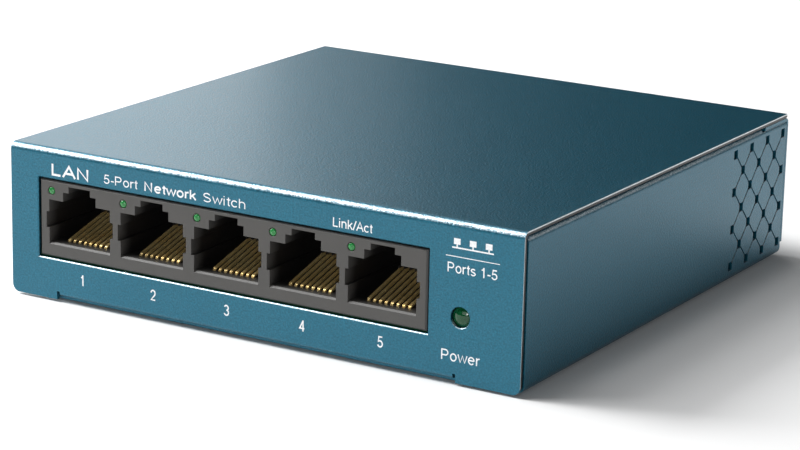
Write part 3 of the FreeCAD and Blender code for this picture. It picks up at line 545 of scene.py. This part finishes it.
def rear_print(material):
    """The letters DC over a short rule, left of the power socket as it is seen from behind."""
    rear_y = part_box("base_chassis")[1].y
    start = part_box("power_socket_housing")[1].x + 6 * MM
    base, cap, rule_width, weight = 14.0 * MM, 1.9 * MM, 0.10, 0.15
    strokes, pen = [(path((-0.1, -0.45), (2.0, -0.45)), rule_width)], 0.0
    for letter in "DC":
        advance, lines = LETTERS[letter]
        strokes += [(line + (pen, 0), weight) for line in lines]
        pen += advance
    parts = []
    for order, (line, width) in enumerate(strokes):
        points, faces = ribbon(line * cap, width * cap)
        skin = rear_y + ink_thickness * (1 + stroke_step * order) * (1 - points[:, 1])
        parts.append((np.column_stack((start - points[:, 0], skin, points[:, 2] + base)), faces))
    points, faces = join(parts)
    add_piece("print_rear", points, faces, material, "case")


def network_mark(material):
    """Three small squares on one line, over a thin rule: a general sign for a wired network."""
    places, square, half_width = (35.4, 38.05, 40.7), 0.9, 0.55
    rule_z, bus_z, drop_z, square_z = 19.65, 21.0, 21.5, 21.95
    rule_weight, bus_weight = 0.12, 0.22
    rule = [path((33.57, rule_z), (42.55, rule_z))]
    bus = [path((34.6, bus_z), (41.5, bus_z))]
    drops = [path((x, bus_z), (x, drop_z)) for x in places]
    squares = [path((x - half_width, square_z), (x + half_width, square_z)) for x in places]
    marks = ((rule, rule_weight), (bus, bus_weight), (drops, bus_weight), (squares, square))
    bars_to_print = [(line * MM, width * MM) for lines, width in marks for line in lines]
    front_lines("print_network_mark", bars_to_print, material)


# ---- small pieces inside ----

def bars(boxes):
    """Closed bars: corner k of each is low + c (high - low), with c the corner k of a unit cube."""
    corner = np.array([[0, 0, 0], [1, 0, 0], [1, 1, 0], [0, 1, 0],
                       [0, 0, 1], [1, 0, 1], [1, 1, 1], [0, 1, 1]])
    face = np.array([[3, 2, 1, 0], [4, 5, 6, 7], [0, 1, 5, 4],
                     [1, 2, 6, 5], [2, 3, 7, 6], [3, 0, 4, 7]])
    boxes = np.array(boxes, float)
    low, high = boxes[:, None, :3], boxes[:, None, 3:]
    points = (low + corner[None] * (high - low)).reshape(-1, 3)
    faces = (face[None] + 8 * np.arange(len(boxes))[:, None, None]).reshape(-1, 4)
    return points, faces


def wire_columns(port):
    """The x place of each of a port's eight wires."""
    low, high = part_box(f"port_{port}_contacts")
    middle = (low.x + high.x) / 2
    return [middle + (i - (wire_count - 1) / 2) * wire_pitch for i in range(wire_count)]


def make_port_combs():
    """Thin ribs between the wires of each port, which guide their free ends."""
    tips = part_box("port_1_contacts")[1]
    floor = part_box("port_block_housing")[0].z + 2.3 * MM
    rib, back, deep, top = 0.34 * MM, tips.y + 0.7 * MM, 1.5 * MM, tips.z + 0.15 * MM
    for port in range(1, port_count + 1):
        columns = wire_columns(port)
        gaps = [(a + b) / 2 for a, b in zip(columns, columns[1:])]
        gaps = [2 * columns[0] - gaps[0]] + gaps + [2 * columns[-1] - gaps[-1]]
        points, faces = bars([(x - rib / 2, back - deep, floor, x + rib / 2, back, top) for x in gaps])
        add_piece(f"port_{port}_comb", points, faces, finishes["port_plastic"], "case")


def chip_leg(width, rise, reach, thick):
    """One gull-wing leg: a ribbon that leaves the body level, steps down and ends flat on the board.

    Its points are (out from the body, along the body, up from the board).
    """
    root, shoulder, heel = -0.1 * reach, 0.28 * reach, 0.50 * reach
    bend = path((root, rise), (shoulder, rise), (heel, thick / 2), (reach, thick / 2))
    points, faces = ribbon(bend, thick)
    return np.column_stack((points[:, 0], (points[:, 1] - 0.5) * width, points[:, 2])), faces


def legs_round(low, high, pitch, leg, sides, top):
    """Legs along the chosen sides of a body: 0 for its left and right, 1 for its front and rear."""
    shape, faces = leg
    placed = []
    for axis in sides:
        other = 1 - axis
        length = high[other] - low[other]
        count = int((length - pitch) / pitch)
        first = (low[other] + high[other]) / 2 - (count - 1) * pitch / 2
        for edge, way in ((low[axis], -1), (high[axis], 1)):
            for k in range(count):
                spot = np.empty_like(shape)
                spot[:, axis] = edge + way * shape[:, 0]
                spot[:, other] = first + k * pitch + shape[:, 1]
                spot[:, 2] = top + shape[:, 2]
                placed.append((spot, faces))
    return placed


def make_legs():
    """Tinned legs of the chips and transformers."""
    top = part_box("circuit_board")[1].z
    wire = finishes["tinned_wire"]
    leg_thick, leg_rise = 0.14 * MM, 0.45
    # the chip's node, its legs' pitch, width and reach in mm, and the sides that carry them
    chips = (("switch_chip", 0.5, 0.22, 1.0, (0, 1)),
             ("memory_chip", 1.27, 0.41, 1.0, (0,)),
             ("regulator_chip", 1.5, 0.7, 1.4, (1,)))
    for node, pitch, width, reach, sides in chips:
        low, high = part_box(node)
        leg = chip_leg(width * MM, leg_rise * (high.z - low.z), reach * MM, leg_thick)
        points, faces = join(legs_round(low, high, pitch * MM, leg, sides, top))
        add_piece(f"{node}_legs", points, faces, wire, "case")
    low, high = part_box("lan_transformers")
    width, rise, reach, thick = 0.45 * MM, 1.1 * MM, 1.5 * MM, 0.22 * MM
    half_length, pitch = 6 * MM, 1.27 * MM
    leg = chip_leg(width, rise, reach, thick)
    blocks = []
    for x in port_centres():
        blocks += legs_round((x - half_length, low.y), (x + half_length, high.y), pitch, leg, (1,), top)
    points, faces = join(blocks)
    add_piece("lan_transformer_legs", points, faces, wire, "case")


def solder_joint(radius, height, rings=5, around=10):
    """A flared cone of solder that hangs under the board, with a blunt tip.

    At depth height t it has the radius radius (1 - 0.62 t^0.6), for t from 0 to 0.9.
    """
    tip, narrowing, curve = 0.9, 0.62, 0.6
    t = np.linspace(0, tip, rings)[:, None]
    angle = np.linspace(0, 2 * np.pi, around, endpoint=False)[None, :]
    flare = radius * (1 - t ** curve * narrowing)
    points = np.stack((flare * np.cos(angle), flare * np.sin(angle), -height * t + 0 * angle), axis=-1)
    here = np.arange(rings * around).reshape(rings, around)
    beside = np.roll(here, -1, 1)
    quads = np.stack((here[:-1], here[1:], beside[1:], beside[:-1]), axis=-1)
    return points.reshape(-1, 3), quads.reshape(-1, 4), here[0], here[-1]


def make_solder():
    """A joint under the board round every contact tail, lamp lead and socket tab."""
    board_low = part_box("circuit_board")[0].z
    joint_height, row_step = 1.05 * MM, 2 * MM
    tail_radius, lead_radius, tab_radius = 0.44 * MM, 0.7 * MM, 1.25 * MM
    tail_inset, lead_inset, tab_inset = 0.17 * MM, 0.25 * MM, 0.2 * MM
    rear_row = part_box("contact_leads")[1].y - tail_inset
    places = [(x, rear_row - (i % 2) * row_step, tail_radius) for port in range(1, port_count + 1)
              for i, x in enumerate(wire_columns(port))]
    low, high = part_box("power_lamp_leads")
    places += [(x, high.y - lead_inset, lead_radius) for x in (low.x + lead_inset, high.x - lead_inset)]
    low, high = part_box("power_socket_terminals")
    places += [((low.x + high.x) / 2, y, tab_radius) for y in (low.y + tab_inset, high.y - tab_inset)]
    shape = bmesh.new()
    for x, y, radius in places:
        points, quads, rim, tip = solder_joint(radius, joint_height)
        corners = [shape.verts.new(point + (x, y, board_low)) for point in points]
        for quad in quads:
            shape.faces.new([corners[k] for k in quad])
        shape.faces.new([corners[k] for k in rim])
        shape.faces.new([corners[k] for k in tip[::-1]])
    bmesh.ops.recalc_face_normals(shape, faces=shape.faces)
    mesh = bpy.data.meshes.new("solder_joints")
    shape.to_mesh(mesh)
    shape.free()
    mesh.shade_smooth()
    finish_piece("solder_joints", mesh, finishes["tinned_wire"], "case")


make_camera()
finishes = dress_nodes()
make_studio()
make_print()
make_port_combs()
make_legs()
make_solder()
